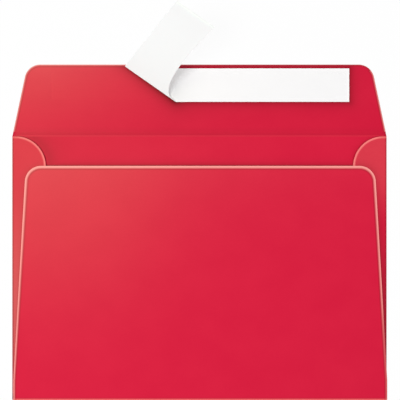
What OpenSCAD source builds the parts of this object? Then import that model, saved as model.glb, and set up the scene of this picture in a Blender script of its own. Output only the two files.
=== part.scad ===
// Peel-and-seal wallet envelope, lying on its address face with the seal flap open
// and one end of the release liner peeled up. Sizes are in millimetres.
// X runs along the envelope, Y from the bottom fold to the flap, Z up from the address face.
// The origin is the middle of the address face.

/* [Envelope] */
// Width between the outsides of the two side folds
env_w = 176; // [140:1:240]
// Height from the outside of the bottom fold to the flap crease
env_h = 125; // [90:1:180]
// Thickness of the paper
paper_t = 0.16; // [0.1:0.01:0.3]
// Clear height inside the empty pocket
pocket_gap = 0.5; // [0.3:0.1:2]

/* [Back panel] */
// Distance from the flap crease down to the mouth edge
mouth_drop = 15; // [8:0.2:40]
// How far each side edge has come in where it reaches the mouth
mouth_inset = 5.8; // [2:0.2:8]
// Height above the bottom fold where the side edges start to come in
taper_start = 16; // [2:0.2:20]
// Radius of the two mouth corners
mouth_corner_r = 7.6; // [2:0.2:15]
// How far the back panel stays inside each side fold at its lower end, if it is folded up straight
back_side_gap = 0.5; // [0.1:0.1:2]
// How far to the right of the middle the back panel is folded up
panel_shift = 0.4; // [0:0.1:0.5]

/* [Side flaps] */
// Width from the outside of the side fold to the free inner edge
side_flap_w = 16; // [13:0.2:30]
// Radius of the round upper end
side_round_r = 14; // [4:0.5:30]
// Distance from the crease strip to the upper end
side_top_gap = 0.1; // [0.1:0.1:5]
// Distance from the bottom fold to the lower end, beside the side fold
side_bottom_gap = 2; // [1:0.5:8]
// Slant of the lower end
side_slant = 25; // [0:1:45]

/* [Seam glue] */
// Width of a seam
glue_w = 5; // [2:0.5:6]
// Thickness of the set glue
glue_t = 0.04; // [0.02:0.01:0.1]
// Distance from the back panel's side edge to the seam
glue_edge_gap = 1.5; // [1:0.1:3]
// Distance from the seam's ends to the bottom fold and to the mouth edge
glue_end_gap = 12; // [11:0.5:25]

/* [Seal flap] */
// Depth from the crease to the free edge
flap_h = 32.7; // [22:0.1:60]
// How far each slanted end, which starts below the crease, has come in at the free edge
flap_inset = 7.2; // [0:0.1:8]
// Radius of the two free corners
flap_corner_r = 7.4; // [1:0.2:12]
// Width of the creased strip between the front panel and the flap
crease_w = 2.2; // [1:0.1:4]
// Depth of the score line pressed into the crease
score_depth = 0.05; // [0.02:0.01:0.08]
// Room between the closed flap's liner and the back panel
close_gap = 0.6; // [0.2:0.1:2]

/* [Self-seal strip] */
// Distance from the liner's ends to the flap's slanted ends, at the free edge
liner_end_gap = 10.2; // [3:0.2:20]
// Width of the liner
liner_w = 16; // [10:0.25:18]
// Thickness of the liner
liner_t = 0.08; // [0.05:0.01:0.15]
// Distance from the flap's free edge to the liner
liner_edge_gap = 1.6; // [0.5:0.1:3]
// How far the liner reaches past the adhesive, all round
liner_overhang = 1.1; // [0.5:0.1:3]
// Thickness of the adhesive
adhesive_t = 0.05; // [0.03:0.01:0.1]
// Air left between the adhesive and the liner
liner_gap = 0.02; // [0.01:0.01:0.05]

/* [Peeled end] */
// Length of liner peeled off, from its end to the outside of the roll
peeled_len = 47.9; // [30:0.1:60]
// Angle between the roll and the length of the strip
roll_skew = 35; // [25:0.5:60]
// Radius of the tight roll, on the side that was stuck down
roll_r = 0.5; // [0.4:0.1:3]
// Steepness of the free end where it leaves the roll
rise_start = 50; // [20:1:80]
// Steepness of the free end at its tip
rise_end = 46; // [10:1:80]
// Length of the free end past the roll, square to the roll
tail_len = 40.6; // [20:0.2:45]
// Slant of the free end, away from square to the roll
tail_slant = 17.5; // [-20:0.5:30]
// Length past the roll over which the lower edge draws in to the free end's width
draw_run = 30; // [10:1:40]
// How much wider the free end spreads than the stuck strip
tail_flare = 1; // [0:0.1:3]

/* [Hidden] */
$fn = 96;

PAPER_COLOUR = "#dc3449";
GLUE_COLOUR = "#e9dfc4";
ADHESIVE_COLOUR = "#e0586a";
LINER_COLOUR = "#fafafa";

bottom_y = -env_h / 2;
crease_y = env_h / 2;

// The side folds go round the pocket alone, the bottom fold also round the side flaps' glued seam.
side_fold_r = (2 * paper_t + pocket_gap) / 2;
bottom_fold_r = (3 * paper_t + pocket_gap + glue_t) / 2;
flat_half_w = env_w / 2 - side_fold_r;
side_z = paper_t + pocket_gap;
glue_z = side_z + paper_t;
back_z = glue_z + glue_t;
back_top_z = back_z + paper_t;

side_bottom_y = bottom_y + bottom_fold_r + side_bottom_gap;
side_top_y = crease_y - crease_w / 2 - side_top_gap;
side_flat_w = side_flap_w - side_fold_r;
side_end_r = min(side_round_r, side_flat_w - paper_t);

back_h = env_h - mouth_drop;
back_half_w = env_w / 2 - back_side_gap;

liner_z = paper_t + adhesive_t + liner_gap;
liner_mid_y = crease_y + flap_h - liner_edge_gap - liner_w / 2;
liner_right_x = env_w / 2 - flap_inset - liner_end_gap;

// The flap's ends slant from the lower side of the crease strip up to the free edge.
flap_slope = flap_inset / (flap_h + crease_w / 2);
crease_inset = crease_w * flap_slope;
flap_root_half_w = env_w / 2 - crease_inset;

// The flap turns half a turn about this height and then lies clear of the back panel.
hinge_z = (back_top_z + close_gap + liner_z + liner_t) / 2;

// The roll's rulings run along roll_dir, and roll_side points from the roll back over the strip.
roll_dir = [cos(roll_skew), -sin(roll_skew)];
roll_side = [sin(roll_skew), cos(roll_skew)];
roll_origin = [peeled_len - liner_right_x, liner_mid_y];
roll_turn = 180 - rise_start;
roll_arc = roll_r * roll_turn * PI / 180;
roll_half = liner_w / 2 / sin(roll_skew);
draw_in = 2 * roll_half - (liner_w + tail_flare) / cos(tail_slant);
roll_steps = 14;
tail_steps = 24;

// Turn of the sheet, in degrees, at a length along it square to the rulings.
function sheet_turn(run) =
    run < roll_arc ? run / roll_r * 180 / PI
    : roll_turn + (rise_start - rise_end) * (run - roll_arc) / tail_len;

// Distance from the roll's outside, and height, at such a length.
function sheet_profile(run) =
    let (turn = min(run / roll_r * 180 / PI, roll_turn), free = max(run - roll_arc, 0))
    let (mean_turn = roll_turn + (rise_start - rise_end) * free / tail_len / 2)
    [
        roll_r * (1 - sin(turn)) - free * cos(mean_turn),
        roll_r * (1 - cos(turn)) + free * sin(mean_turn)
    ];

// Share of its whole draw that the lower edge has made at a length past the roll: a quarter ellipse.
function draw_share(free) = let (left = 1 - min(free / draw_run, 1)) sqrt(1 - left * left);

// Place along a ruling: the strip's own course round the roll, then the slant, and the draw of the lower edge.
function sheet_along(run, side) =
    let (turned = min(run, roll_arc), free = max(run - roll_arc, 0))
    (roll_r - turned) / tan(roll_skew) + free * tan(tail_slant)
    + side * roll_half - (1 + side) / 2 * draw_in * draw_share(free);

// A point on the sheet: side is -1 at the upper edge and 1 at the lower, lift is through its thickness.
function sheet_point(run, side, lift) =
    let (profile = sheet_profile(run) + lift * [sin(sheet_turn(run)), cos(sheet_turn(run))])
    let (place = roll_origin + profile[0] * roll_side + sheet_along(run, side) * roll_dir)
    [place[0], place[1], liner_z + profile[1]];

// Half width of the back panel at a height above the bottom fold.
function back_edge(height) =
    back_half_w - mouth_inset * max(height - taper_start, 0) / (back_h - taper_start);

// Panel that stands on the X axis, straight at first and then tapered, with two round upper corners.
module tapered_panel(half_w, straight, height, inset, corner_r) {
    run = height - straight;
    side_len = norm([inset, run]);
    corner_y = height - corner_r;
    corner_in = inset * (corner_y - straight + corner_r * inset / side_len) / run;
    corner_x = half_w - corner_r * run / side_len - corner_in;
    leaves_side = [corner_x + corner_r * run / side_len, corner_y + corner_r * inset / side_len];
    half = concat(
        [[half_w, 0]],
        straight > 0 ? [[half_w, straight]] : [],
        [leaves_side, [corner_x, height]]
    );
    last = len(half) - 1;
    polygon(concat(half, [for (i = [last:-1:0]) [-half[i][0], half[i][1]]]));
    for (side = [-1, 1])
        translate([side * corner_x, corner_y])
            circle(corner_r);
}

// Half of a paper tube about the Y axis, open towards +X.
module half_tube(outer_r, length) {
    rotate([-90, 0, 0])
        linear_extrude(length)
            difference() {
                circle(outer_r);
                circle(outer_r - paper_t);
                translate([0, -2 * outer_r])
                    square(4 * outer_r);
            }
}

module side_fold() {
    translate([-flat_half_w, side_bottom_y, side_fold_r])
        half_tube(side_fold_r, side_top_y - side_bottom_y);
}

module side_flap() {
    reach = side_flat_w - side_end_r;
    translate([-flat_half_w, 0, side_z])
        linear_extrude(paper_t) {
            polygon([
                [0, side_bottom_y],
                [side_flat_w, side_bottom_y + side_flat_w * tan(side_slant)],
                [side_flat_w, side_top_y - side_end_r],
                [reach, side_top_y],
                [0, side_top_y]
            ]);
            translate([reach, side_top_y - side_end_r])
                intersection() {
                    circle(side_end_r);
                    square(side_end_r);
                }
        }
}

module seam_glue() {
    low = glue_end_gap;
    high = back_h - glue_end_gap;
    outer = [for (height = [low, high]) [glue_edge_gap - back_edge(height), bottom_y + height]];
    inner = [for (point = outer) point + [glue_w, 0]];
    translate([0, 0, glue_z])
        linear_extrude(glue_t)
            polygon([outer[0], inner[0], inner[1], outer[1]]);
}

module front_panel() {
    color(PAPER_COLOUR)
        translate([-flat_half_w, bottom_y + bottom_fold_r, 0])
            cube([2 * flat_half_w, env_h - bottom_fold_r - crease_w / 2, paper_t]);
}

module bottom_fold() {
    color(PAPER_COLOUR)
        translate([flat_half_w, bottom_y + bottom_fold_r, bottom_fold_r])
            rotate([0, 0, 90])
                half_tube(bottom_fold_r, 2 * flat_half_w);
}

module left_fold() {
    color(PAPER_COLOUR)
        side_fold();
}

module right_fold() {
    color(PAPER_COLOUR)
        mirror([1, 0, 0])
            side_fold();
}

module left_side_flap() {
    color(PAPER_COLOUR)
        side_flap();
}

module right_side_flap() {
    color(PAPER_COLOUR)
        mirror([1, 0, 0])
            side_flap();
}

module left_seam_glue() {
    color(GLUE_COLOUR)
        seam_glue();
}

module right_seam_glue() {
    color(GLUE_COLOUR)
        mirror([1, 0, 0])
            seam_glue();
}

module back_panel() {
    color(PAPER_COLOUR)
        translate([panel_shift, bottom_y + bottom_fold_r, back_z])
            linear_extrude(paper_t)
                tapered_panel(back_half_w, taper_start - bottom_fold_r, back_h - bottom_fold_r,
                              mouth_inset, mouth_corner_r);
}

// The score is a round groove about the line that the flap turns on.
module flap_crease() {
    color(PAPER_COLOUR)
        translate([0, crease_y, 0])
            intersection() {
                rotate([90, 0, 90])
                    linear_extrude(env_w, center = true)
                        difference() {
                            translate([-crease_w / 2, 0])
                                square([crease_w, paper_t]);
                            translate([0, hinge_z])
                                circle(hinge_z - paper_t + score_depth);
                        }
                linear_extrude(paper_t)
                    polygon([
                        [-env_w / 2, -crease_w / 2],
                        [env_w / 2, -crease_w / 2],
                        [flap_root_half_w, crease_w / 2],
                        [-flap_root_half_w, crease_w / 2]
                    ]);
            }
}

module seal_flap() {
    color(PAPER_COLOUR)
        translate([0, crease_y + crease_w / 2, 0])
            linear_extrude(paper_t)
                tapered_panel(flap_root_half_w, 0, flap_h - crease_w / 2,
                              flap_inset - crease_inset, flap_corner_r);
}

module flap_adhesive() {
    length = 2 * (liner_right_x - liner_overhang);
    width = liner_w - 2 * liner_overhang;
    color(ADHESIVE_COLOUR)
        translate([-length / 2, liner_mid_y - width / 2, paper_t])
            cube([length, width, adhesive_t]);
}

// The stuck length ends along the line where the roll starts.
module liner_strip() {
    upper = sheet_point(0, -1, 0);
    lower = sheet_point(0, 1, 0);
    color(LINER_COLOUR)
        translate([0, 0, liner_z])
            linear_extrude(liner_t)
                polygon([
                    [upper[0], upper[1]],
                    [lower[0], lower[1]],
                    [liner_right_x, lower[1]],
                    [liner_right_x, upper[1]]
                ]);
}

// The peeled length is one sheet with straight rulings: it rolls over tight and then runs up to its tip.
// Its rulings lie closest together by the roll, where the lower edge draws in fastest.
module peel_tab() {
    runs = concat(
        [for (i = [0:roll_steps]) roll_arc * i / roll_steps],
        [for (i = [1:tail_steps]) roll_arc + tail_len * pow(i / tail_steps, 2)]
    );
    points = [
        for (run = runs)
            each [
                sheet_point(run, -1, 0),
                sheet_point(run, 1, 0),
                sheet_point(run, 1, liner_t),
                sheet_point(run, -1, liner_t)
            ]
    ];
    last = 4 * (len(runs) - 1);
    walls = [
        for (start = [0:4:last - 4], k = [0:3])
            let (a = start + k, b = start + (k + 1) % 4)
            each [[a, b, b + 4], [a, b + 4, a + 4]]
    ];
    ends = [[0, 2, 1], [0, 3, 2], [last, last + 1, last + 2], [last, last + 2, last + 3]];
    color(LINER_COLOUR)
        polyhedron(points, concat(walls, ends));
}

front_panel();
bottom_fold();
left_fold();
right_fold();
left_side_flap();
right_side_flap();
left_seam_glue();
right_seam_glue();
back_panel();
flap_crease();
seal_flap();
flap_adhesive();
liner_strip();
peel_tab();
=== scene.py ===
"""A red peel-and-seal envelope on its address side, with the flap open and one end of the liner peeled up."""
import math

import bpy
import numpy as np
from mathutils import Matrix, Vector


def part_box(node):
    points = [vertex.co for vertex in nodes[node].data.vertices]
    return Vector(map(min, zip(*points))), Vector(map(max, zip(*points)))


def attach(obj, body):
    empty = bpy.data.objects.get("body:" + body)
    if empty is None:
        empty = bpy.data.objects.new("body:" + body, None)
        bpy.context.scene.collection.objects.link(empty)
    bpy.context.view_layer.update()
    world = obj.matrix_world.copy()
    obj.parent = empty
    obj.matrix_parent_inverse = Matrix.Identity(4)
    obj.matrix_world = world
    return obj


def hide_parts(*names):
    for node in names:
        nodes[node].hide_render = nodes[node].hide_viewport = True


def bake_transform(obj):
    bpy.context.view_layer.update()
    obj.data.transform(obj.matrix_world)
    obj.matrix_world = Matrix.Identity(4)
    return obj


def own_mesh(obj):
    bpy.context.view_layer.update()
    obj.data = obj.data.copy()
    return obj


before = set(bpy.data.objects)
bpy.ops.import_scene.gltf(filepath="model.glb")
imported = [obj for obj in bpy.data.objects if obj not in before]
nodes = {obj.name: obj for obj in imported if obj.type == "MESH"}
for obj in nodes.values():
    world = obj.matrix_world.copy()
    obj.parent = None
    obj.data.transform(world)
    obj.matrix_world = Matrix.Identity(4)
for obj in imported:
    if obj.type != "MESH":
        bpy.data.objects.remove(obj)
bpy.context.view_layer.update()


# The view: the camera hangs straight over the envelope, a little above its middle.
# The picture is square, and a millimetre of the paper covers a little over two of its pixels.
picture_px = 400
px_per_metre = 2125.6
view_centre = (0.00026, 0.03154)
camera_height = 0.182
camera_near = 0.005
camera = bpy.data.objects.new("camera", bpy.data.cameras.new("camera"))
camera.data.lens = camera.data.sensor_width * camera_height * px_per_metre / picture_px
camera.data.clip_start = camera_near
camera.location = (*view_centre, camera_height)
bpy.context.scene.collection.objects.link(camera)
bpy.context.scene.camera = camera
bpy.context.scene.view_settings.view_transform = "Standard"


# Front panel: the address side of one die-cut sheet of red paper, of about 120 g/m2. It lies face down,
# and its edges run on into the folds and the flap crease. The whole sheet has one finish.
mm = 0.001
front_low, front_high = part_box("front_panel")
paper_t = front_high.z - front_low.z
side_low, side_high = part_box("left_side_flap")
side_round_r = 14 * mm
mouth_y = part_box("back_panel")[1].y
sharp_turn = math.radians(70)
paper_gloss = 0.13
# Along a cut edge of the paper, in millimetres from it: how far the edge is felt at all, where the bruised
# line ends, where the pale core begins, and where the core is fully pale.
edge_reach = 4.0
bruise_w = 2.3
core_w = 1.7
core_full_w = 0.5
# Painted shades on the inside of the pocket: beside the round ends of the side flaps, and by the mouth.
arc_line_w = 0.8 * mm
left_arc_shade = 0.31
left_arc_start = 2 * mm
left_arc_reach = 4 * mm
right_arc_shade = 0.2
mouth_shade = 0.44
mouth_reach = 1.3 * mm
inside_matt = 1.5


class Shade:
    """A socket of a material's nodes: sums, differences and products of these add Math nodes."""

    def __init__(self, tree, socket=None):
        self.tree = tree
        self.socket = socket

    def add(self, kind, settings, values, out=0):
        """Output out of a node of that kind, given its settings, then the values or links of its sockets."""
        node = self.tree.nodes.new(kind)
        for word, value in settings.items():
            setattr(node, word, value)
        for key, value in values.items():
            self.feed(node.inputs[key], value)
        return Shade(self.tree, node.outputs[out])

    def feed(self, socket, value):
        """Links another Shade to the socket, or sets its value."""
        if isinstance(value, Shade):
            self.tree.links.new(value.socket, socket)
        else:
            socket.default_value = value

    def math(self, operation, first, second):
        """A Math node's result for two values or links."""
        return self.add("ShaderNodeMath", {"operation": operation}, {0: first, 1: second})

    def __add__(self, other):
        return self.math("ADD", self, other)

    def __sub__(self, other):
        return self.math("SUBTRACT", self, other)

    def __rsub__(self, other):
        return self.math("SUBTRACT", other, self)

    def __mul__(self, other):
        return self.math("MULTIPLY", self, other)

    __radd__ = __add__
    __rmul__ = __mul__

    def attribute(self, name):
        """The value that the mesh carries under that name, which is 0 where it has none."""
        return self.add("ShaderNodeAttribute", {"attribute_name": name}, {}, "Fac")

    def step(self, low, high):
        """Rises smoothly from 0 at low to 1 at high."""
        settings = {"interpolation_type": "SMOOTHSTEP"}
        return self.add("ShaderNodeMapRange", settings, {"Value": self, "From Min": low, "From Max": high})

    def mix(self, first, second):
        """The colour that goes from the first to the second as this value goes from 0 to 1."""
        return self.add("ShaderNodeMix", {"data_type": "RGBA"}, {0: self, 6: first, 7: second}, 2)

    def relief(self, strength, depth):
        """The normal of a surface that stands up by the depth as this value goes from 0 to 1."""
        return self.add("ShaderNodeBump", {}, {"Strength": strength, "Distance": depth, "Height": self})


def screen(red, green, blue):
    """The linear colour of a screen colour whose parts run from 0 to 255."""
    part = np.array([red, green, blue]) / 255
    linear = np.where(part > 0.04045, ((part + 0.055) / 1.055) ** 2.4, part / 12.92)
    return (*linear.tolist(), 1.0)


def new_finish(name):
    """A material with its shader, the Shade that its nodes grow from, and Object coordinates."""
    finish = bpy.data.materials.new(name)
    finish.use_nodes = True
    shader = finish.node_tree.nodes["Principled BSDF"]
    grow = Shade(finish.node_tree)
    return finish, shader, grow, grow.add("ShaderNodeTexCoord", {}, {}, "Object")


def speckle(grow, place, scale, detail=2.0):
    """Noise about 0.5, with cells of 1 / scale metres, along X, Y and Z."""
    stretched = grow.add("ShaderNodeMapping", {}, {"Vector": place, "Scale": scale})
    return grow.add("ShaderNodeTexNoise", {}, {"Vector": stretched, "Scale": 1.0, "Detail": detail})


sheet_red = screen(215, 15, 58)
cloud_red = screen(219, 22, 61)
# A pale red for wear and for painted sheen and highlights.
sheen_and_wear_red = screen(243, 137, 126)
# A dark red for the bruised line and for painted shade and shadow.
shade_and_bruise_red = screen(112, 12, 20)
core_pink = screen(255, 161, 154)
soft_pink = screen(255, 130, 128)


def red_paper():
    """Red paper: cloudy colour, short fibres along X, and what its attributes paint: a pale core at cut edges
    with a bruised line beside it, a softer pale rim, paler places of wear and of painted sheen and highlight,
    darker places of painted shade and shadow and of stain, and places with less sheen."""
    finish, shader, grow, place = new_finish("red_paper")
    cloud = speckle(grow, place, (55, 70, 70), 3.0)
    fibre = speckle(grow, place, (900, 4200, 4200))
    grain = speckle(grow, place, (6000, 6000, 6000))
    edge = grow.attribute("edge")
    bruise = edge.step(edge_reach - bruise_w, edge_reach - core_w) * 0.3
    core = edge.step(edge_reach - core_w, edge_reach - core_full_w)
    tone = (cloud * 0.6 + fibre * 0.4).step(0.3, 0.7)
    colour = tone.mix(sheet_red, cloud_red)
    # Paler where the attribute says: wear of the paper, and also painted sheen and painted highlight.
    colour = (grow.attribute("worn") * (0.75 + fibre * 0.5)).mix(colour, sheen_and_wear_red)
    # Darker where the attribute says: mostly painted shade and painted shadow, and the adhesive's stain.
    colour = grow.attribute("dull").mix(colour, shade_and_bruise_red)
    colour = bruise.mix(colour, shade_and_bruise_red)
    colour = core.mix(colour, core_pink)
    colour = grow.attribute("soft").mix(colour, soft_pink)
    grow.feed(shader.inputs["Base Color"], colour)
    rough = 0.33 + fibre * 0.08 + grain * 0.04 + grow.attribute("matt") * 0.11
    grow.feed(shader.inputs["Roughness"], rough)
    grow.feed(shader.inputs["Normal"], (fibre * 0.6 + grain * 0.4).relief(0.2, 0.03 * mm))
    shader.inputs["Specular IOR Level"].default_value = paper_gloss
    return finish


def flat_grid(x, y, z):
    """Points at every pair of x and y, in rows along X, all at the height z."""
    across, along = np.meshgrid(x, y)
    return np.stack([across, along, np.full_like(across, z)], -1)


def grid_quads(rows, columns):
    """The numbers of a grid's points, counted along its rows, and the four corners of each of its cells."""
    grid = np.arange(rows * columns).reshape(rows, columns)
    quads = np.stack([grid[:-1, :-1], grid[:-1, 1:], grid[1:, 1:], grid[1:, :-1]], -1)
    return grid, quads.reshape(-1, 4)


def closed_sheet(name, top, under, cut, finish, **fields):
    """A closed sheet between two grids of points, top, which faces outwards, and under, its other side.
    Each side is the grid's quads, and a wall of two quads joins their rims. The wall's middle stands out
    on the sides that are cut, in the order first row, last column, last row, first column, and so rounds
    them. Fields are grids of values on the top and the wall, which the finish reads as attributes."""
    rows, columns = top.shape[:2]
    count = rows * columns
    middle = (top + under) / 2
    out = np.zeros_like(middle)
    first_row, last_column = (np.s_[0], np.s_[1]), (np.s_[:, -1], np.s_[:, -2])
    last_row, first_column = (np.s_[-1], np.s_[-2]), (np.s_[:, 0], np.s_[:, 1])
    for is_cut, (rim, inner) in zip(cut, (first_row, last_column, last_row, first_column)):
        step = middle[rim] - middle[inner]
        out[rim] += is_cut * step / np.linalg.norm(step, axis=-1, keepdims=True)
    out *= np.linalg.norm(top - under, axis=-1, keepdims=True) / 4
    grid, quads = grid_quads(rows, columns)
    rim = np.concatenate([grid[0, :-1], grid[:-1, -1], grid[-1, :0:-1], grid[:0:-1, 0]])
    rings = rim, 2 * count + np.arange(len(rim)), rim + count
    walls = [np.stack([a, b, np.roll(b, -1), np.roll(a, -1)], -1) for a, b in zip(rings, rings[1:])]
    faces = np.concatenate([quads, quads[:, ::-1] + count, *walls])
    sides = (top - out).reshape(-1, 3), (under - out).reshape(-1, 3), middle.reshape(-1, 3)[rim]
    mesh = bpy.data.meshes.new(name)
    mesh.from_pydata(np.concatenate(sides).tolist(), [], faces.tolist())
    for word, field in fields.items():
        values = np.concatenate([field.ravel(), np.zeros(count), field.ravel()[rim]])
        mesh.attributes.new(word, "FLOAT", "POINT").data.foreach_set("value", values.astype(np.float32))
    mesh.shade_smooth()
    mesh.set_sharp_from_angle(angle=sharp_turn)
    mesh.materials.append(finish)
    piece = bpy.data.objects.new(name, mesh)
    bpy.context.scene.collection.objects.link(piece)
    return piece


def corner_gap(first, second, radius):
    """Distance in from two square edges that a round corner joins, from the distances to each of them."""
    return radius - np.hypot(np.maximum(radius - first, 0), np.maximum(radius - second, 0))


def fade(distance, reach):
    """1 at a line and behind it, falling towards 0 over the reach."""
    return np.exp(-np.maximum(distance, 0) / reach)


paper = red_paper()
front_x = np.linspace(front_low.x, front_high.x, 241)
hidden_y = np.linspace(front_low.y, mouth_y, 13)
inside_y = np.linspace(mouth_y, front_high.y, 45)
front_y = np.concatenate([hidden_y[:-1], inside_y])
front_top = flat_grid(front_x, front_y, front_high.z)
front_under = flat_grid(front_x, front_y, front_low.z)
past_left = -corner_gap(side_high.x - front_top[..., 0], side_high.y - front_top[..., 1], side_round_r)
past_right = -corner_gap(side_high.x + front_top[..., 0], side_high.y - front_top[..., 1], side_round_r)
# Painted shade beside the round end of the left side flap, beside the right one, and by the mouth.
left_dull = fade(past_left - left_arc_start, left_arc_reach) * (1 - fade(past_left, arc_line_w))
right_dull = fade(past_right, arc_line_w)
mouth_dull = fade(front_top[..., 1] - mouth_y, mouth_reach)
front_dull = np.maximum(left_arc_shade * left_dull, right_arc_shade * right_dull)
front_dull = np.maximum(front_dull, mouth_shade * mouth_dull)
front_panel = closed_sheet(
    "front_panel_sheet",
    front_top,
    front_under,
    (0, 0, 0, 0),
    paper,
    dull=front_dull,
    matt=np.full_like(front_dull, inside_matt),
)
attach(front_panel, "pocket")
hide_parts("front_panel")


# Folds: the same sheet, rolled over tight and pressed, along the bottom and up both sides.
# The dyed skin of the paper is stretched over their crests, so they look paler, and that paleness is also a
# painted highlight, strongest at the bottom and on the left.
bend_turn = np.linspace(-math.pi / 2, math.pi / 2, 17)
pressed = 0.4
crest_spread = 0.3


def fold_grid(start, end, out, radius):
    """Half a round from the low side to the high side of a fold, carried from start to end along its length.
    Out is the flat direction in which the fold's crest points. Its length is 1, or less where the fold is
    pressed."""
    along = np.linspace(0, 1, 81)[:, None, None]
    path = np.array(start) + along * (np.array(end) - np.array(start))
    arc = np.cos(bend_turn)[:, None] * np.array(out) + np.sin(bend_turn)[:, None] * np.array([0, 0, 1])
    return path + radius * arc


def fold_piece(name, node, start, end, out, worn, dull):
    """A fold of paper, as high as the CAD node that it stands for, paler along its crest with wear and
    painted highlight, or darker there with painted shade.
    """
    low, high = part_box(node)
    outer_r = (high.z - low.z) / 2
    top = fold_grid(start, end, out, outer_r)
    under = fold_grid(start, end, out, outer_r - paper_t)
    crest = np.broadcast_to(np.maximum(np.cos(bend_turn), 0) ** crest_spread, top.shape[:2])
    piece = closed_sheet(name, top, under, (0, 0, 0, 0), paper, worn=worn * crest, dull=dull * crest)
    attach(piece, "pocket")
    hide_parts(node)


bottom_low, bottom_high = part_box("bottom_fold")
bottom_z = (bottom_low.z + bottom_high.z) / 2
fold_piece(
    "bottom_fold_bend",
    "bottom_fold",
    (bottom_high.x, bottom_high.y, bottom_z),
    (bottom_low.x, bottom_high.y, bottom_z),
    (0, -1, 0),
    worn=1.1,
    dull=0,
)
left_low, left_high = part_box("left_fold")
side_z = (left_low.z + left_high.z) / 2
fold_piece(
    "left_fold_bend",
    "left_fold",
    (left_high.x, bottom_high.y, side_z),
    (left_high.x, left_high.y, side_z),
    (-pressed, 0, 0),
    worn=0.7,
    dull=0,
)
# The right fold, away from the light, has less painted highlight and a little painted shade.
fold_piece(
    "right_fold_bend",
    "right_fold",
    (-left_high.x, left_high.y, side_z),
    (-left_high.x, bottom_high.y, side_z),
    (pressed, 0, 0),
    worn=0.5,
    dull=0.1,
)


# Side flaps: narrow panels folded in over the front panel, with quarter-round upper ends.
# Their inner edges are cut and show the paper's pale core; the back panel is glued on to them.
side_slant = math.radians(25)
# The free upper end springs up a little along its inner edge.
side_lift = 0.05 * mm
lift_rise = 4 * mm
lift_w = 8 * mm
# The pale rim along the inner edge, and the dark line by the fold.
rim_w = 0.4 * mm
rim_fade = 0.8 * mm
rim_start = 6 * mm
left_rim = 0.8
fold_line_w = 0.9 * mm
fold_line_shade = 0.5
# Painted light and shade, which differ on the two sides, as lit from the left: on the left a painted
# highlight low down and a little darkening, on the right painted sheen at the top and painted shade low down,
# and on both a painted shadow beside the edge of the back panel.
left_low_highlight = 0.5
left_darken = 0.06
left_low_darken = 0.1
left_edge_shade = 0.22
left_edge_reach = 1 * mm
right_top_sheen = 0.13
right_low_shade = 0.45
right_edge_shade = 0.35
right_edge_reach = 1.4 * mm
lower_run = 90 * mm
upper_run = 30 * mm
back_low, back_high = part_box("back_panel")
back_base = Vector(((back_low.x + back_high.x) / 2, back_low.y, back_low.z))
back_shape = {
    "half_w": (back_high.x - back_low.x) / 2,
    "straight": 9 * mm,
    "height": back_high.y - back_low.y,
    "inset": 5.8 * mm,
    "corner_r": 7.6 * mm,
}


def panel_corner(half_w, straight, height, inset, corner_r):
    """Lean of the sides of a panel that stands on y = 0, and the centre of the round corner at its right.
    The sides are straight up at first, and then come in evenly by the inset up to its height."""
    lean = math.atan2(inset, height - straight)
    corner_y = height - corner_r
    leave_y = corner_y + corner_r * math.sin(lean)
    leave_x = half_w - inset * (leave_y - straight) / (height - straight)
    return lean, leave_x - corner_r * math.cos(lean), corner_y


def panel_gap(x, y, shape):
    """Distance in from the sides, the top and the round corners of such a panel. Below 0 outside it."""
    lean, corner_x, corner_y = panel_corner(**shape)
    in_from_side = shape["half_w"] - np.abs(x)
    past_straight = np.maximum(y - shape["straight"], 0)
    side_gap = in_from_side * math.cos(lean) - past_straight * math.sin(lean)
    right = np.abs(x) - corner_x
    above = y - corner_y
    in_corner = (right > 0) & (above > right * math.tan(lean))
    round_gap = shape["corner_r"] - np.hypot(right, above)
    return np.where(in_corner, round_gap, np.minimum(side_gap, shape["height"] - y))


def ease(x):
    """Rises from 0 at 0 to 1 at 1, with no slope at either end."""
    c = np.clip(x, 0, 1)
    return c * c * (3 - 2 * c)


def edge_field(gap):
    """Nearness to a cut edge in millimetres: edge_reach on the edge itself, and 0 far from it."""
    return np.maximum(edge_reach - gap / mm, 0)


def side_flap_grid():
    """Ruled grid between the fold line and the inner outline, a straight edge and then a quarter round."""
    shoulder = side_high.y - side_round_r
    inner_low = side_low.y + (side_high.x - side_low.x) * math.tan(side_slant)
    straight_rows = 61
    turn = np.linspace(0, math.pi / 2, 33)[1:]
    round_x = side_high.x - side_round_r * (1 - np.cos(turn))
    round_y = shoulder + side_round_r * np.sin(turn)
    inner_x = np.concatenate([np.full(straight_rows, side_high.x), round_x])
    inner_y = np.concatenate([np.linspace(inner_low, shoulder, straight_rows), round_y])
    fold_y = np.concatenate([np.linspace(side_low.y, shoulder, straight_rows), round_y])
    share = np.sin(np.linspace(0, math.pi / 2, 25))
    x = side_low.x + share * (inner_x[:, None] - side_low.x)
    y = fold_y[:, None] + share * (inner_y - fold_y)[:, None]
    return np.stack([x, y, np.full_like(x, side_low.z)], -1)


side_under = side_flap_grid()
side_gap = corner_gap(side_high.x - side_under[..., 0], side_high.y - side_under[..., 1], side_round_r)
side_rise = np.clip((side_under[..., 1] - mouth_y) / lift_rise, 0, 1)
side_under[..., 2] += side_lift * side_rise * np.clip(1 - side_gap / lift_w, 0, 1) ** 2
side_top = side_under + np.array([0, 0, paper_t])
side_x = side_under[..., 0]
side_y = side_under[..., 1]
past_panel_left = -panel_gap(side_x - back_base.x, side_y - back_base.y, back_shape)
past_panel_right = -panel_gap(-side_x - back_base.x, side_y - back_base.y, back_shape)
from_fold = side_x - side_low.x
by_fold = fold_line_shade * np.clip(1 - from_fold / fold_line_w, 0, 1)
side_rim = (0.5 + 0.5 * ease(from_fold / rim_start)) * (1 - ease((side_gap - rim_w) / rim_fade))
lower = ease((mouth_y - side_y) / lower_run)
upper = 1 - ease((mouth_y - side_y) / upper_run)
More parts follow.
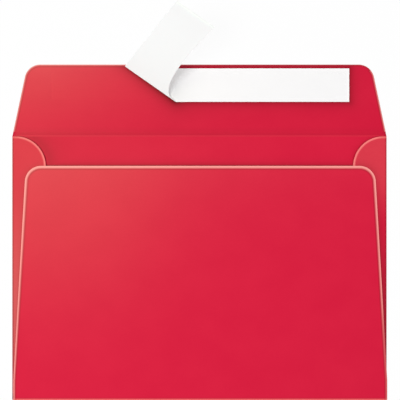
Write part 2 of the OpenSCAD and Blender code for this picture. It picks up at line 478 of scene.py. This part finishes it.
# Painted shadow beside the back panel's edge, darker low down, and the dark line by the fold.
left_flap_dull = left_edge_shade * fade(past_panel_left, left_edge_reach)
left_flap_dull = left_flap_dull + left_darken + left_low_darken * lower + by_fold
right_flap_dull = right_edge_shade * fade(past_panel_right, right_edge_reach)
right_flap_dull = right_flap_dull + right_low_shade * lower + by_fold * (1 - 0.7 * lower)
mirror = np.array([-1, 1, 1])
# Paler low down on the left is painted highlight; paler at the top on the right is painted sheen.
left_side_flap = closed_sheet(
    "left_side_flap_sheet",
    side_top,
    side_under,
    (1, 1, 1, 0),
    paper,
    soft=left_rim * side_rim,
    worn=left_low_highlight * lower,
    dull=left_flap_dull,
)
right_side_flap = closed_sheet(
    "right_side_flap_sheet",
    side_top[:, ::-1] * mirror,
    side_under[:, ::-1] * mirror,
    (1, 0, 1, 1),
    paper,
    soft=side_rim[:, ::-1],
    worn=right_top_sheen * upper[:, ::-1],
    dull=right_flap_dull[:, ::-1],
)
for piece, node in (left_side_flap, "left_side_flap"), (right_side_flap, "right_side_flap"):
    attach(piece, "pocket")
    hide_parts(node)


# Seam glue: a thin line of pale paste along each side flap, set hard under the back panel.
# It is out of sight unless the seam is cut open.
paste_cream = screen(226, 214, 186)
paste_pale = screen(240, 232, 212)


def set_paste():
    """Dry paste: cream, cloudy and dull, with fine ridges along the seam from the glue wheel."""
    finish, shader, grow, place = new_finish("set_paste")
    cloud = speckle(grow, place, (400, 120, 400), 3.0)
    ridge = speckle(grow, place, (4000, 150, 4000))
    grow.feed(shader.inputs["Base Color"], cloud.mix(paste_cream, paste_pale))
    grow.feed(shader.inputs["Roughness"], 0.5 + cloud * 0.2)
    grow.feed(shader.inputs["Normal"], ridge.relief(0.3, 0.02 * mm))
    return finish


paste = set_paste()
for node in "left_seam_glue", "right_seam_glue":
    nodes[node].data.materials.clear()
    nodes[node].data.materials.append(paste)


# Back panel: the lower half of the sheet, folded up over the side flaps and glued to them.
# It tapers to the mouth, where its corners are round, and its cut edges show the pale core of the paper.
# The mouth bows up a little between the side flaps.
mouth_bow = 0.2 * mm
bow_half_w = 60 * mm
# Painted sheen by the mouth, stronger to the left, and painted shade that grows towards the bottom fold and
# the right.
mouth_sheen = 0.036
mouth_sheen_reach = 20 * mm
low_right_shade = 0.03
# How much of the pale core is hidden low down, and how far up it stays fainter on the right.
core_hidden = 0.6 * mm
core_low_y = 25 * mm
core_low_run = 40 * mm
# The bottom fold's paler wear and painted highlight run on to the panel, with a faint dark line above it.
foot_wear_and_highlight = 0.8
foot_w = 0.7 * mm
foot_line_shade = 0.08
foot_line_y = 1 * mm
foot_line_w = 0.4 * mm


def panel_rows(half_w, straight, height, inset, corner_r):
    """Heights and half widths of a panel: straight sides, sides that come in evenly, then round corners."""
    lean, corner_x, corner_y = panel_corner(half_w, straight, height, inset, corner_r)
    leave_y = corner_y + corner_r * math.sin(lean)
    turn = np.linspace(lean, math.pi / 2, 33)
    low = straight * np.linspace(0, 1, 17)[:-1] ** 2 if straight > 0 else np.zeros(0)
    rise = np.linspace(straight, leave_y, 49)[:-1]
    heights = np.concatenate([low, rise, corner_y + corner_r * np.sin(turn)])
    halves = np.concatenate([
        np.full(len(low), half_w),
        half_w - inset * (rise - straight) / (height - straight),
        corner_x + corner_r * np.cos(turn),
    ])
    return heights, halves


def panel_grid(base, shape, columns):
    """Grid over such a panel, standing on the point base, with its columns closest together near its sides,
    and the gap from each point to the panel's edges."""
    heights, halves = panel_rows(**shape)
    share = np.sin(np.linspace(-math.pi / 2, math.pi / 2, columns))
    x = share * halves[:, None]
    y = np.broadcast_to(heights[:, None], x.shape)
    return np.stack([x + base.x, y + base.y, np.full_like(x, base.z)], -1), panel_gap(x, y, shape)


def bell(distance, width):
    """1 on a line, falling towards 0 on both sides of it over the width."""
    return np.exp(-(distance / width) ** 2)


back_under, back_gap = panel_grid(back_base, back_shape, 91)
back_rise = back_under[..., 1] - back_base.y
back_share = back_rise / back_shape["height"]
back_side = back_under[..., 0] / back_shape["half_w"]
# Painted sheen by the mouth, and painted shade towards the bottom and the right.
back_sheen_paint = mouth_sheen * (1.6 - back_side) * fade(back_shape["height"] - back_rise, mouth_sheen_reach)
back_low_shade = low_right_shade * (1 + 0.6 * back_side) * (1 - back_share)
back_thin = core_hidden * np.sqrt(np.maximum(1 - back_share, 0))
back_faint = 0.8 * (back_side > 0) * (1 - ease((back_rise - core_low_y) / core_low_run))
back_across = np.clip(back_under[..., 0] / bow_half_w, -1, 1)
back_under[..., 2] += mouth_bow * (1 - back_across ** 2) ** 2 * back_share ** 3
back_panel = closed_sheet(
    "back_panel_sheet",
    back_under + np.array([0, 0, paper_t]),
    back_under,
    (0, 1, 1, 1),
    paper,
    edge=np.minimum(edge_field(back_gap + back_thin), edge_reach - core_full_w - back_faint),
    worn=foot_wear_and_highlight * np.clip(1 - back_rise / foot_w, 0, 1) + back_sheen_paint,
    dull=foot_line_shade * bell(back_rise - foot_line_y, foot_line_w) + back_low_shade,
)
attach(back_panel, "pocket")
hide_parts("back_panel")


# Flap crease: the strip of the sheet where the flap turns, scored on its inner side by a blunt rule.
# Painted shade darkens the score and the side of the strip towards the flap.
crease_low, crease_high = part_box("flap_crease")
flap_low, flap_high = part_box("seal_flap")
crease_y = (crease_low.y + crease_high.y) / 2
# The score, the painted shade round it, and the lip below it, which has a paler painted highlight.
score_depth = 0.05 * mm
score_w = 0.3 * mm
score_shade = 0.12
score_shade_w = 0.6 * mm
score_lip_highlight = 0.06
score_lip_y = -1.0 * mm
score_lip_w = 0.4 * mm
flap_side_shade = 0.13
# The sheen is less by the crease, up to this height.
matt_rise = 24 * mm
matt_most = 1.2


def flap_matt(grid):
    """How much less sheen the flap has: more and more from left to right, and more again by the crease."""
    from_crease = 1 - ease((grid[..., 1] - flap_low.y) / matt_rise)
    return np.maximum(matt_most * from_crease + matt_most * (grid[..., 0] / flap_high.x + 0.8), 0)


crease_share = np.linspace(0, 1, 33)
crease_half = crease_high.x + crease_share * (flap_high.x - crease_high.x)
crease_x = crease_half[:, None] * np.linspace(-1, 1, 81)
crease_rise = crease_low.y + crease_share[:, None] * (crease_high.y - crease_low.y)
crease_under = np.stack([
    crease_x,
    np.broadcast_to(crease_rise, crease_x.shape),
    np.full_like(crease_x, crease_low.z),
], -1)
from_score = crease_under[..., 1] - crease_y
crease_top = crease_under + np.array([0, 0, paper_t])
crease_top[..., 2] -= score_depth * bell(from_score, score_w)
crease = closed_sheet(
    "flap_crease_bend",
    crease_top,
    crease_under,
    (0, 1, 0, 1),
    paper,
    # Painted shade towards the flap and in the score, and a painted highlight on the lip below it.
    dull=flap_side_shade * crease_share[:, None] + score_shade * bell(from_score, score_shade_w),
    worn=score_lip_highlight * bell(from_score - score_lip_y, score_lip_w),
    matt=flap_matt(crease_under),
)
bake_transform(crease)
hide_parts("flap_crease")


# Seal flap: the top of the sheet, with slanted ends and round free corners, lying open and flat.
# Its die-cut edge shows the pale core. A painted shadow darkens the paper round the liner and beside its
# roll, and under the liner the adhesive's stain darkens it.
flap_base = Vector((0, flap_low.y, flap_low.z))
flap_shape = {
    "half_w": -flap_low.x,
    "straight": 0,
    "height": flap_high.y - flap_low.y,
    "inset": 6.73 * mm,
    "corner_r": 7.4 * mm,
}
# Painted shadow along the liner's outline, the adhesive's stain under it, and painted shade beside the roll.
outline_shadow = 0.57
stain_under = 0.3
outline_shadow_reach = 2 * mm
stain_matt = 2.5
roll_line_shade = 0.12
roll_line_reach = 1.2 * mm
roll_shade = 0.36
roll_shade_reach = 4.5 * mm
# Painted sheen at the upper left of the flap, faint painted shade by the crease, and a faint darker line
# along the cut edge.
sheen_most = 0.17
sheen_reach = 8 * mm
foot_shade = 0.07
foot_shade_run = 3 * mm
cut_shade = 0.08
cut_shade_w = 0.7 * mm
# How much of the pale core is hidden, and how much more of it along the right of the free edge.
flap_core_hidden = 0.75 * mm
right_core_hidden = 0.4 * mm
right_core_x = -40 * mm
right_core_run = 60 * mm
right_core_depth = 3 * mm
# The liner on the flap, and the slanted line along which it rolls over.
strip_low, strip_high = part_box("liner_strip")
liner_w = strip_high.y - strip_low.y
peeled_len = 47.9 * mm
roll_skew = math.radians(35)
roll_origin = np.array([peeled_len - strip_high.x, (strip_low.y + strip_high.y) / 2])
roll_dir = np.array([math.cos(roll_skew), -math.sin(roll_skew)])
roll_side = np.array([math.sin(roll_skew), math.cos(roll_skew)])
roll_half = liner_w / 2 / math.sin(roll_skew)


def liner_shadow_and_stain(grid):
    """How much darker the paper is at the grid's points: a painted shadow, darkest along the liner's outline,
    which is the strip's long edges, its end and the slanted roll, less with the distance from it, and a stain
    about half as dark all over the inside. Painted shade makes the rest of the flap a little darker, more so
    to the right."""
    past_edge = np.abs(grid[..., 1] - roll_origin[1]) - liner_w / 2
    past_end = grid[..., 0] - strip_high.x
    past_roll = (roll_origin - grid[..., :2]) @ roll_side
    past_all = np.stack([past_edge, past_end, past_roll])
    under = np.maximum(-past_all.max(0), 0)
    spread = fade(np.linalg.norm(np.maximum(past_all, 0), axis=0) + under, outline_shadow_reach)
    # Painted shadow round the liner's outline, and the adhesive's stain inside it.
    outline_shadow_and_stain = np.where(under > 0, stain_under + (outline_shadow - stain_under) * spread, outline_shadow * spread)
    along_roll = (grid[..., :2] - roll_origin) @ roll_dir
    by_roll = np.hypot(past_roll, np.maximum(np.abs(along_roll) - roll_half, 0))
    lower_end = np.clip(0.5 + 0.5 * along_roll / roll_half, 0, 1)
    # Painted shade beside the roll, broader towards its lower end.
    roll_dull = roll_line_shade * fade(by_roll, roll_line_reach)
    roll_dull = roll_dull + roll_shade * lower_end * fade(by_roll, roll_shade_reach)
    # Painted shade over the rest of the flap, darker to the right.
    plain = 0.035 + 0.025 * grid[..., 0] / flap_high.x
    return plain + outline_shadow_and_stain + roll_dull


def flap_sheen_paint(grid):
    """How much painted sheen the flap has: most at the left of its free edge, and less below it."""
    to_left = np.clip(0.1 - 1.1 * grid[..., 0] / flap_high.x, 0, 1)
    return sheen_most * to_left * fade(flap_high.y - grid[..., 1], sheen_reach)


flap_under, flap_gap = panel_grid(flap_base, flap_shape, 241)
flap_shadow_and_stain = liner_shadow_and_stain(flap_under)
flap_foot = 1 - ease((flap_under[..., 1] - flap_low.y) / foot_shade_run)
flap_cut = np.clip(1 - flap_gap / cut_shade_w, 0, 1)
by_free_edge = flap_high.y - flap_under[..., 1] < right_core_depth
flap_right = ease((flap_under[..., 0] - right_core_x) / right_core_run) * by_free_edge
seal_flap = closed_sheet(
    "seal_flap_sheet",
    flap_under + np.array([0, 0, paper_t]),
    flap_under,
    (0, 1, 1, 1),
    paper,
    edge=edge_field(flap_gap + flap_core_hidden + right_core_hidden * flap_right),
    dull=flap_shadow_and_stain + foot_shade * flap_foot + cut_shade * flap_cut,
    worn=flap_sheen_paint(flap_under),
    matt=flap_matt(flap_under) + stain_matt * flap_shadow_and_stain,
)
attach(seal_flap, "seal_flap")
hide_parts("seal_flap")


# Adhesive: a clear, tacky film laid along the flap by a coating roller, with a slightly rippled face.
# The red paper shows through it, so that only its gloss gives it away.
film_low, film_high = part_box("flap_adhesive")
film_t = film_high.z - film_low.z
film_corner_r = 1.5 * mm
film_slope_w = 3 * mm
film_draw_in = 0.05 * mm
# The film's height at its rim, within it and in its ripples, as shares of its thickness.
film_rim = 0.1
film_body = 0.74
film_wave = 0.16
wave_x = 1.3 * mm
wave_y = 0.9 * mm


def clear_adhesive():
    """Clear film on red paper: the paper's red, with the wear, painted sheen, painted shade and stain of the
    paper beneath, and a gloss that ripples along X."""
    finish, shader, grow, place = new_finish("clear_adhesive")
    ripple = speckle(grow, place, (250, 900, 900), 3.0)
    dots = speckle(grow, place, (2200, 2200, 2200))
    red = grow.attribute("worn").mix(ripple.mix(sheet_red, cloud_red), sheen_and_wear_red)
    grow.feed(shader.inputs["Base Color"], grow.attribute("dull").mix(red, shade_and_bruise_red))
    rough = 0.34 + ripple * 0.06 + dots * 0.04 + grow.attribute("matt") * 0.11
    grow.feed(shader.inputs["Roughness"], rough)
    grow.feed(shader.inputs["Normal"], ripple.relief(0.15, 0.03 * mm))
    shader.inputs["Specular IOR Level"].default_value = paper_gloss
    return finish


def film_grid(inset, z):
    """Grid over the film's plan, whose ends have round corners, drawn in by inset, at the height z."""
    rise = np.sin(np.linspace(-math.pi / 2, math.pi / 2, 25))
    half_w = (film_high.y - film_low.y) / 2 - inset
    y = (film_low.y + film_high.y) / 2 + half_w * rise
    into_corner = np.maximum(np.abs(half_w * rise) - (half_w - film_corner_r), 0)
    half_l = film_high.x - inset - film_corner_r + np.sqrt(film_corner_r ** 2 - into_corner ** 2)
    x = np.linspace(-1, 1, 121) * half_l[:, None]
    return np.stack([x, np.broadcast_to(y[:, None], x.shape), np.full_like(x, z)], -1)


film_top = film_grid(film_draw_in, film_low.z)
film_gap = np.minimum(film_top[..., 1] - film_low.y, film_high.y - film_top[..., 1])
film_gap = np.minimum(film_gap, film_high.x - np.abs(film_top[..., 0]))
film_ripple = np.sin(film_top[..., 0] / wave_x + np.sin(film_top[..., 1] / wave_y))
film_slope = ease(film_gap / film_slope_w)
film_top[..., 2] += film_t * (film_rim + film_slope * (film_body + film_wave * film_ripple))
film_shadow_and_stain = liner_shadow_and_stain(film_top)
adhesive = closed_sheet(
    "adhesive_film",
    film_top,
    film_grid(0, film_low.z),
    (0, 0, 0, 0),
    clear_adhesive(),
    worn=flap_sheen_paint(film_top),
    dull=film_shadow_and_stain,
    matt=flap_matt(film_top) + stain_matt * film_shadow_and_stain,
)
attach(adhesive, "seal_flap")
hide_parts("flap_adhesive")


# Release liner, stuck length: a strip of thin white paper with a slippery coat, laid over the adhesive.
# It is wider than the adhesive, and the free margin springs up a little all round.
liner_t = strip_high.z - strip_low.z
liner_gloss = 0.3
# Along a cut edge of the liner, in millimetres from it: where it grows whiter, and where it is whitest.
liner_edge_w = 1.2
liner_edge_full_w = 0.8
# The margin that springs up, and the trim of the upper edge and the end.
margin_lift = 0.15 * mm
margin_w = 1.6 * mm
strip_trim = 0.3 * mm
trim_run = 8 * mm
# The tight roll and the tail past it, which stands up at these angles and is cut on a slant.
roll_r = 0.5 * mm
rise_start = math.radians(50)
rise_end = math.radians(46)
tail_len = 40.6 * mm
tail_slant = math.radians(17.5)
tail_flare = 1 * mm
draw_run = 37 * mm
draw_bow = 2.5
draw_in = 2 * roll_half - (liner_w + tail_flare) / math.cos(tail_slant)
roll_turn = math.pi - rise_start
roll_arc = roll_r * roll_turn
# The soft shade on the strip in the hollow beside the tail.
tail_shade = 0.48
tail_shade_w = 2.2 * mm
tail_shade_reach = 4.5 * mm
hollow_rise = 5 * mm
hollow_top = 6 * mm
hollow_run = 10 * mm
liner_white = screen(250, 249, 249)
fibre_white = screen(253, 252, 252)
cut_white = screen(254, 253, 253)
coat_and_bounce_white = screen(243, 254, 252)
liner_grey = screen(200, 201, 203)


def liner_paper():
    """White coated paper: faint clouds, fine fibres along X and a smooth sheen, whiter along the cut edges,
    cooler where the coated face shows, a tint that also offsets the red light bounced from the flap, and
    greyer where an attribute paints shade on it."""
    finish, shader, grow, place = new_finish("liner_paper")
    cloud = speckle(grow, place, (90, 160, 160), 3.0)
    fibre = speckle(grow, place, (800, 3600, 3600))
    cut_edge = grow.attribute("edge").step(edge_reach - liner_edge_w, edge_reach - liner_edge_full_w)
    colour = cloud.mix(liner_white, fibre_white)
    colour = (fibre.step(0.35, 0.75) * 0.5).mix(colour, fibre_white)
    colour = cut_edge.mix(colour, cut_white)
    colour = grow.attribute("coated").mix(colour, coat_and_bounce_white)
    colour = grow.attribute("shade").mix(colour, liner_grey)
    grow.feed(shader.inputs["Base Color"], colour)
    grow.feed(shader.inputs["Roughness"], 0.36 + fibre * 0.1)
    grow.feed(shader.inputs["Normal"], fibre.relief(0.12, 0.02 * mm))
    shader.inputs["Specular IOR Level"].default_value = liner_gloss
    return finish


def curl_grid(run, side, lift):
    """Points of the liner past its peel line. Run is the length along it, square to the roll's straight
    lines: the sheet turns evenly round the tight roll, then rises to its tip while the turn goes slowly on.
    Side runs from 1 at the lower edge to -1 at the upper. Along those lines the sheet keeps the strip's
    course round the roll and then takes its slant, and its lower edge draws in over draw_run by a quarter
    superellipse. Lift goes through the thickness."""
    turn = np.minimum(run / roll_r, roll_turn)
    free = np.maximum(run - roll_arc, 0)
    unbend = (rise_start - rise_end) * free / tail_len
    out = roll_r * (1 - np.sin(turn)) - free * np.cos(roll_turn + unbend / 2) + lift * np.sin(turn + unbend)
    up = roll_r * (1 - np.cos(turn)) + free * np.sin(roll_turn + unbend / 2) + lift * np.cos(turn + unbend)
    centre = (roll_r - np.minimum(run, roll_arc)) / math.tan(roll_skew) + free * math.tan(tail_slant)
    draw = draw_in * (1 - (1 - np.minimum(free / draw_run, 1)) ** draw_bow) ** (1 / draw_bow)
    along = centre[:, None] + side * roll_half - (1 + side) / 2 * draw[:, None]
    place = roll_origin + out[:, None, None] * roll_side + along[..., None] * roll_dir
    height = np.broadcast_to((strip_low.z + up)[:, None, None], place[..., :1].shape)
    return np.concatenate([place, height], -1)


liner = liner_paper()
peel_line = curl_grid(np.zeros(1), np.sin(np.linspace(1, -1, 33) * math.pi / 2), 0)[0]
peel_x = peel_line[:, :1]
peel_y = peel_line[:, 1:2]
strip_end = strip_high.x - strip_trim
strip_x = peel_x + np.sin(np.linspace(0, math.pi / 2, 121)) * (strip_end - peel_x)
strip_start = ease((strip_x - peel_x) / trim_run)
strip_y = peel_y - strip_trim * strip_start * (peel_y - strip_low.y) / liner_w
strip_gap = np.minimum(strip_y - strip_low.y, strip_high.y - strip_trim - strip_y)
strip_gap = np.minimum(strip_gap, strip_end - strip_x)
strip_spring = np.clip(1 - strip_gap / margin_w, 0, 1) ** 2 * strip_start
tab_edge = curl_grid(np.linspace(0, roll_arc + tail_len, 201), np.ones(1), 0)[:, 0]
past_tab = strip_x - np.interp(strip_y, tab_edge[:, 1], tab_edge[:, 0])
strip_rise = strip_y - strip_low.y
strip_hollow = 0.4 + 0.6 * ease(strip_rise / hollow_rise)
strip_hollow = strip_hollow * (1 - ease((strip_rise - hollow_top) / hollow_run))
by_tab = ease(past_tab / tail_shade_w) * fade(past_tab - tail_shade_w, tail_shade_reach)
strip_under = np.stack([strip_x, strip_y, strip_low.z + margin_lift * strip_spring], -1)
liner_strip = closed_sheet(
    "liner_strip_sheet",
    strip_under + np.array([0, 0, liner_t]),
    strip_under,
    (1, 1, 1, 0),
    liner,
    edge=edge_field(strip_gap),
    shade=tail_shade * strip_hollow * by_tab,
)
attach(liner_strip, "release_liner")
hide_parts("liner_strip")


# Release liner, peeled end: the same strip, pulled off by hand. It rolls over on a slant and stands up.
# Towards the tip the cool tint fades, and painted shade makes the paper a little greyer.
tip_tint_fade = 0.5
tail_painted_shade = 0.12
tip_painted_shade = 0.08
roll_run = np.linspace(0, roll_arc, 25)
tail_run = roll_arc + tail_len * np.linspace(0, 1, 61)[1:] ** 2
curl_run = np.concatenate([roll_run, tail_run])
curl_side = np.sin(np.linspace(-1, 1, 33) * math.pi / 2)
curl_share = np.broadcast_to(curl_run[:, None] / curl_run[-1], (len(curl_run), len(curl_side)))
peel_tab = closed_sheet(
    "peel_tab_curl",
    curl_grid(curl_run, curl_side, 0),
    curl_grid(curl_run, curl_side, liner_t),
    (0, 1, 1, 1),
    liner,
    # The cool tint offsets red light bounced from the flap, most by the roll; painted shade grows towards the
    # tip.
    coated=1 - tip_tint_fade * curl_share,
    shade=tail_painted_shade * curl_share + tip_painted_shade * curl_share ** 4,
)
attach(peel_tab, "release_liner")
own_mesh(peel_tab)
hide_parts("peel_tab")


# Table: a wide, plain, matt white top. It looks evenly white, and takes the soft shadow of what lies on it.
# It lies a hair below the paper.
table_half = 2.0
table_z = -0.05 * mm
table_rows = 5
table_glow = 0.92
table_white = screen(250, 250, 250)
table_pale = screen(253, 253, 253)


def seen(grow):
    """1 for what the camera sees straight, in a mirror or through glass, and 0 for what only gives light."""
    rays = "Is Camera Ray", "Is Glossy Ray", "Is Transmission Ray"
    straight, mirrored, through = [grow.add("ShaderNodeLightPath", {}, {}, ray) for ray in rays]
    return grow.math("MAXIMUM", straight, grow.math("MAXIMUM", mirrored, through))


def white_table():
    """Matt white, with a part of its look that is plain white to the camera and to mirrors."""
    finish, shader, grow, place = new_finish("white_table")
    shader.inputs["Roughness"].default_value = 0.9
    shader.inputs["Specular IOR Level"].default_value = 0.0
    cloud = speckle(grow, place, (8, 8, 8))
    grow.feed(shader.inputs["Base Color"], cloud.mix(table_white, table_pale))
    glow = grow.add("ShaderNodeEmission", {}, {"Color": (1, 1, 1, 1), "Strength": 1.0})
    lit = Shade(grow.tree, shader.outputs[0])
    both = grow.add("ShaderNodeMixShader", {}, {0: seen(grow) * table_glow, 1: lit, 2: glow})
    grow.feed(finish.node_tree.nodes["Material Output"].inputs["Surface"], both)
    return finish


table_line = np.linspace(-table_half, table_half, table_rows)
table_points = flat_grid(table_line, table_line, table_z).reshape(-1, 3)
table_quads = grid_quads(table_rows, table_rows)[1]
table_mesh = bpy.data.meshes.new("table")
table_mesh.from_pydata(table_points.tolist(), [], table_quads.tolist())
table_mesh.materials.append(white_table())
table = bpy.data.objects.new("table", table_mesh)
bpy.context.scene.collection.objects.link(table)


# Light: an even white room, a broad lamp to the lower left for the shading, and a warm one to the left that
# only shows as a soft sheen on that side of the paper.
room_light = 0.64


def soft_lamp(name, place, target, size, power, colour):
    """A square lamp at a place that faces a target."""
    lamp = bpy.data.lights.new(name, "AREA")
    lamp.size = size
    lamp.energy = power
    lamp.color = colour
    holder = bpy.data.objects.new(name, lamp)
    holder.location = place
    holder.rotation_euler = (Vector(target) - Vector(place)).to_track_quat("-Z", "Y").to_euler()
    bpy.context.scene.collection.objects.link(holder)
    return holder


low_lamp = soft_lamp(
    "low_lamp",
    place=(-0.55, -0.35, 1.10),
    target=(0, 0.03, 0),
    size=0.50,
    power=7.2,
    colour=(1.0, 1.0, 1.0),
)
low_lamp.visible_glossy = False
sheen_lamp = soft_lamp(
    "sheen_lamp",
    place=(-0.32, 0.12, 0.54),
    target=(-0.05, 0.05, 0),
    size=0.45,
    power=4.2,
    colour=(1.0, 0.92, 0.45),
)
sheen_lamp.visible_diffuse = False
world = bpy.data.worlds.new("room")
world.use_nodes = True
bpy.context.scene.world = world
room = Shade(world.node_tree)
background = world.node_tree.nodes["Background"]
unseen = 1 - seen(room)
room.feed(background.inputs["Strength"], 1 - unseen * (1 - room_light))
background.inputs["Color"].default_value = (1.0, 1.0, 1.0, 1.0)
